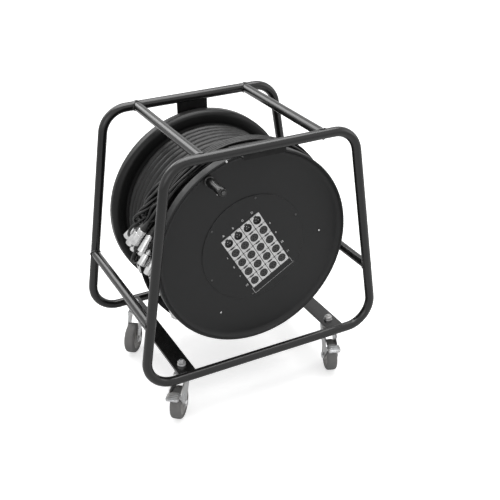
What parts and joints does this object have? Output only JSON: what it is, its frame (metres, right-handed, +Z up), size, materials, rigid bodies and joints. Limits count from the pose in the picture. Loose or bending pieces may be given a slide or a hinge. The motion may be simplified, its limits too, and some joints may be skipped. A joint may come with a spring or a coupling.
{
  "type": "stage box snake",
  "caption": "Multicore stage snake wound on a crank-turned drum, with a round socket panel and fan-out tails, in a tube frame on swivel casters",
  "frame": {"origin": "on the floor, under the middle of the standing object without its loose tails and plugs", "axes": "+Z up, the socket panel faces -Y, +X to the right as seen from the panel side"},
  "size_m": [0.5878, 0.4296, 0.6226],
  "materials": {
    "frame_coat": "satin black powder coat",
    "drum_coat": "fine textured dark grey powder coat",
    "zinc": "bright zinc plate",
    "nickel": "satin nickel plate",
    "plug_metal": "nickel plated shell",
    "cable_jacket": "matt black cable jacket",
    "wheel_rubber": "grey rubber tread on a light hub",
    "grip_plastic": "smooth black plastic"
  },
  "bodies": {
    "frame": {"front_loop": "frame_coat", "rear_loop": "frame_coat", "top_cross_tube_left": "frame_coat", "top_cross_tube_right": "frame_coat", "side_cross_tube_left": "frame_coat", "side_cross_tube_right": "frame_coat", "caster_bar_left": "frame_coat", "caster_bar_right": "frame_coat", "front_bearing_plate": "frame_coat", "rear_bearing_plate": "frame_coat", "front_bearing": "zinc", "rear_bearing": "zinc", "caster_stem_front_left": "zinc", "caster_stem_front_right": "zinc", "caster_stem_rear_left": "zinc", "caster_stem_rear_right": "zinc"},
    "drum": {"hollow_axle": "zinc", "drum_barrel": "frame_coat", "rear_flange": "drum_coat", "middle_flange": "drum_coat", "fanout_barrel": "drum_coat", "stage_box_housing": "drum_coat", "stage_box_dish": "drum_coat", "access_cover": "drum_coat", "male_socket_row": "nickel", "female_socket_row_1": "nickel", "female_socket_row_2": "nickel", "female_socket_row_3": "nickel", "female_socket_row_4": "nickel", "crank_bracket": "zinc", "crank_pin": "zinc", "cable_core": "cable_jacket", "cable_winding": "cable_jacket", "breakout_boot": "cable_jacket", "tail_core": "cable_jacket", "tail_1": "cable_jacket", "tail_2": "cable_jacket", "tail_3": "cable_jacket", "tail_4": "cable_jacket", "plug_1": "plug_metal", "plug_2": "plug_metal", "plug_3": "plug_metal", "plug_4": "plug_metal"},
    "crank_grip": {"crank_grip": "grip_plastic"},
    "swivel_front_left": {"caster_fork_front_left": "zinc", "caster_axle_front_left": "zinc"},
    "wheel_front_left": {"caster_wheel_front_left": "wheel_rubber"},
    "brake_front_left": {"brake_pedal_front_left": "zinc"},
    "swivel_front_right": {"caster_fork_front_right": "zinc", "caster_axle_front_right": "zinc"},
    "wheel_front_right": {"caster_wheel_front_right": "wheel_rubber"},
    "brake_front_right": {"brake_pedal_front_right": "zinc"},
    "swivel_rear_left": {"caster_fork_rear_left": "zinc", "caster_axle_rear_left": "zinc"},
    "wheel_rear_left": {"caster_wheel_rear_left": "wheel_rubber"},
    "swivel_rear_right": {"caster_fork_rear_right": "zinc", "caster_axle_rear_right": "zinc"},
    "wheel_rear_right": {"caster_wheel_rear_right": "wheel_rubber"}
  },
  "joints": [
    {"name": "drum_spin", "type": "hinge", "parent": "frame", "child": "drum", "pos_m": [0, 0.01884, 0.357], "axis": [0, 1, 0], "continuous": true},
    {"name": "grip_spin", "type": "hinge", "parent": "drum", "child": "crank_grip", "pos_m": [-0.10241, -0.145, 0.53655], "axis": [0, 1, 0], "continuous": true},
    {"name": "swivel_front_left_turn", "type": "hinge", "parent": "frame", "child": "swivel_front_left", "pos_m": [-0.192, -0.12516, 0.1], "axis": [0, 0, 1], "continuous": true},
    {"name": "wheel_front_left_roll", "type": "hinge", "parent": "swivel_front_left", "child": "wheel_front_left", "pos_m": [-0.21321, -0.15044, 0.03704], "axis": [0.766, -0.6428, 0], "continuous": true},
    {"name": "brake_front_left_press", "type": "hinge", "parent": "swivel_front_left", "child": "brake_front_left", "pos_m": [-0.22992, -0.17036, 0.07154], "axis": [0.766, -0.6428, 0], "range_deg": [0, 12]},
    {"name": "swivel_front_right_turn", "type": "hinge", "parent": "frame", "child": "swivel_front_right", "pos_m": [0.192, -0.12516, 0.1], "axis": [0, 0, 1], "continuous": true},
    {"name": "wheel_front_right_roll", "type": "hinge", "parent": "swivel_front_right", "child": "wheel_front_right", "pos_m": [0.18044, -0.15607, 0.03704], "axis": [0.9367, -0.3502, 0], "continuous": true},
    {"name": "brake_front_right_press", "type": "hinge", "parent": "swivel_front_right", "child": "brake_front_right", "pos_m": [0.17134, -0.18043, 0.07154], "axis": [0.9367, -0.3502, 0], "range_deg": [0, 12]},
    {"name": "swivel_rear_left_turn", "type": "hinge", "parent": "frame", "child": "swivel_rear_left", "pos_m": [-0.192, 0.16284, 0.1], "axis": [0, 0, 1], "continuous": true},
    {"name": "wheel_rear_left_roll", "type": "hinge", "parent": "swivel_rear_left", "child": "wheel_rear_left", "pos_m": [-0.21321, 0.13756, 0.03704], "axis": [0.766, -0.6428, 0], "continuous": true},
    {"name": "swivel_rear_right_turn", "type": "hinge", "parent": "frame", "child": "swivel_rear_right", "pos_m": [0.192, 0.16284, 0.1], "axis": [0, 0, 1], "continuous": true},
    {"name": "wheel_rear_right_roll", "type": "hinge", "parent": "swivel_rear_right", "child": "wheel_rear_right", "pos_m": [0.1755, 0.13426, 0.03704], "axis": [0.866, -0.5, 0], "continuous": true}
  ]
}
